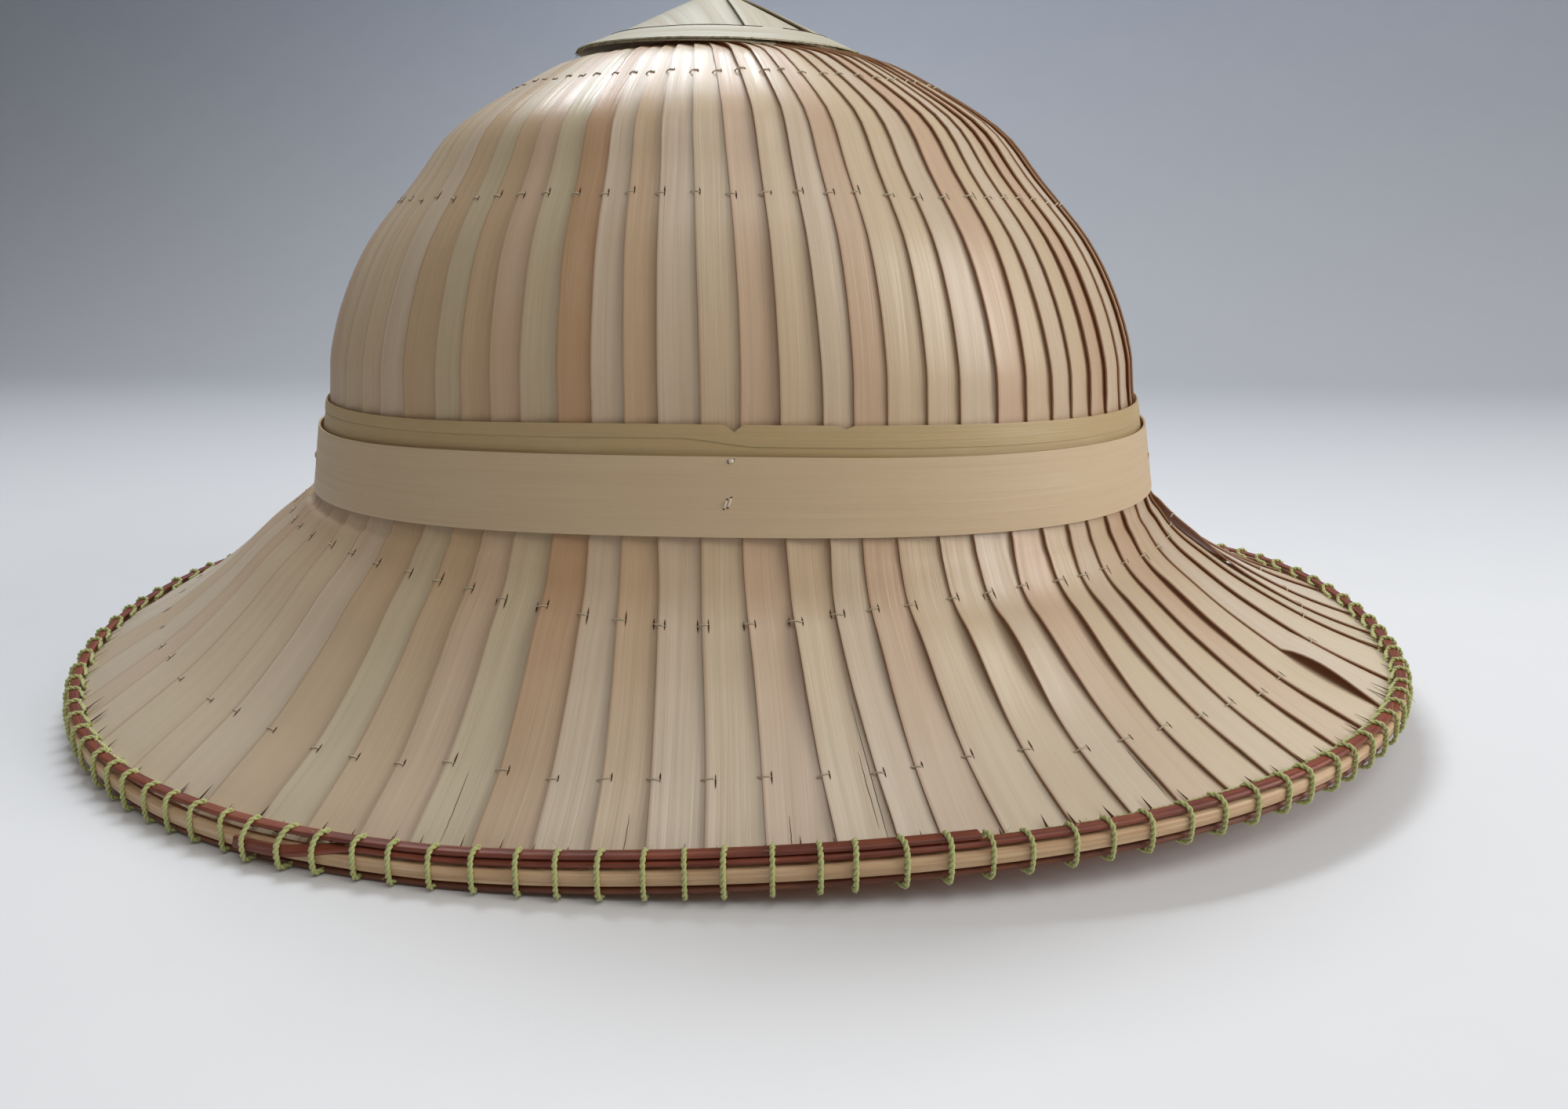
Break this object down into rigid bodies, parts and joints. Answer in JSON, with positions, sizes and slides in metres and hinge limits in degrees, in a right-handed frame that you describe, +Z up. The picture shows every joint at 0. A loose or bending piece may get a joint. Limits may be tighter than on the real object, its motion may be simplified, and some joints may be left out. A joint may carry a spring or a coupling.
{
  "type": "pith helmet of lapped leaf strips",
  "caption": "Sun helmet of lapped palm-leaf strips with domed crown, drooping oval brim, leaf cap, two leaf hatbands and a rim bound in rattan splits",
  "frame": {"origin": "middle of the hat's outline at the level of the surface it rests on", "axes": "+Z up through the cap, +X along the long way of the head, the side that the picture shows faces -Y"},
  "size_m": [0.3604, 0.2622, 0.1793],
  "materials": {
    "leaf": "dry satin palm leaf",
    "cap_leaf": "dry satin palm leaf",
    "upper_band_leaf": "dry satin palm leaf",
    "main_band_leaf": "dry satin palm leaf",
    "dark_rattan": "smooth red-brown rattan bark",
    "pale_rattan": "split rattan core",
    "brown_rattan": "smooth brown rattan bark"
  },
  "bodies": {
    "root": {"leaf_strips_1": "leaf", "leaf_strips_2": "leaf", "leaf_strips_3": "leaf", "leaf_strips_4": "leaf", "leaf_strips_5": "leaf", "leaf_strips_6": "leaf", "leaf_strips_7": "leaf", "leaf_strips_8": "leaf", "leaf_strips_9": "leaf", "leaf_strips_10": "leaf", "leaf_strips_11": "leaf", "leaf_strips_12": "leaf", "top_cap": "cap_leaf", "upper_band": "upper_band_leaf", "main_band": "main_band_leaf", "rim_dark_split": "dark_rattan", "rim_pale_split": "pale_rattan", "rim_lower_split": "brown_rattan"}
  },
  "joints": []
}
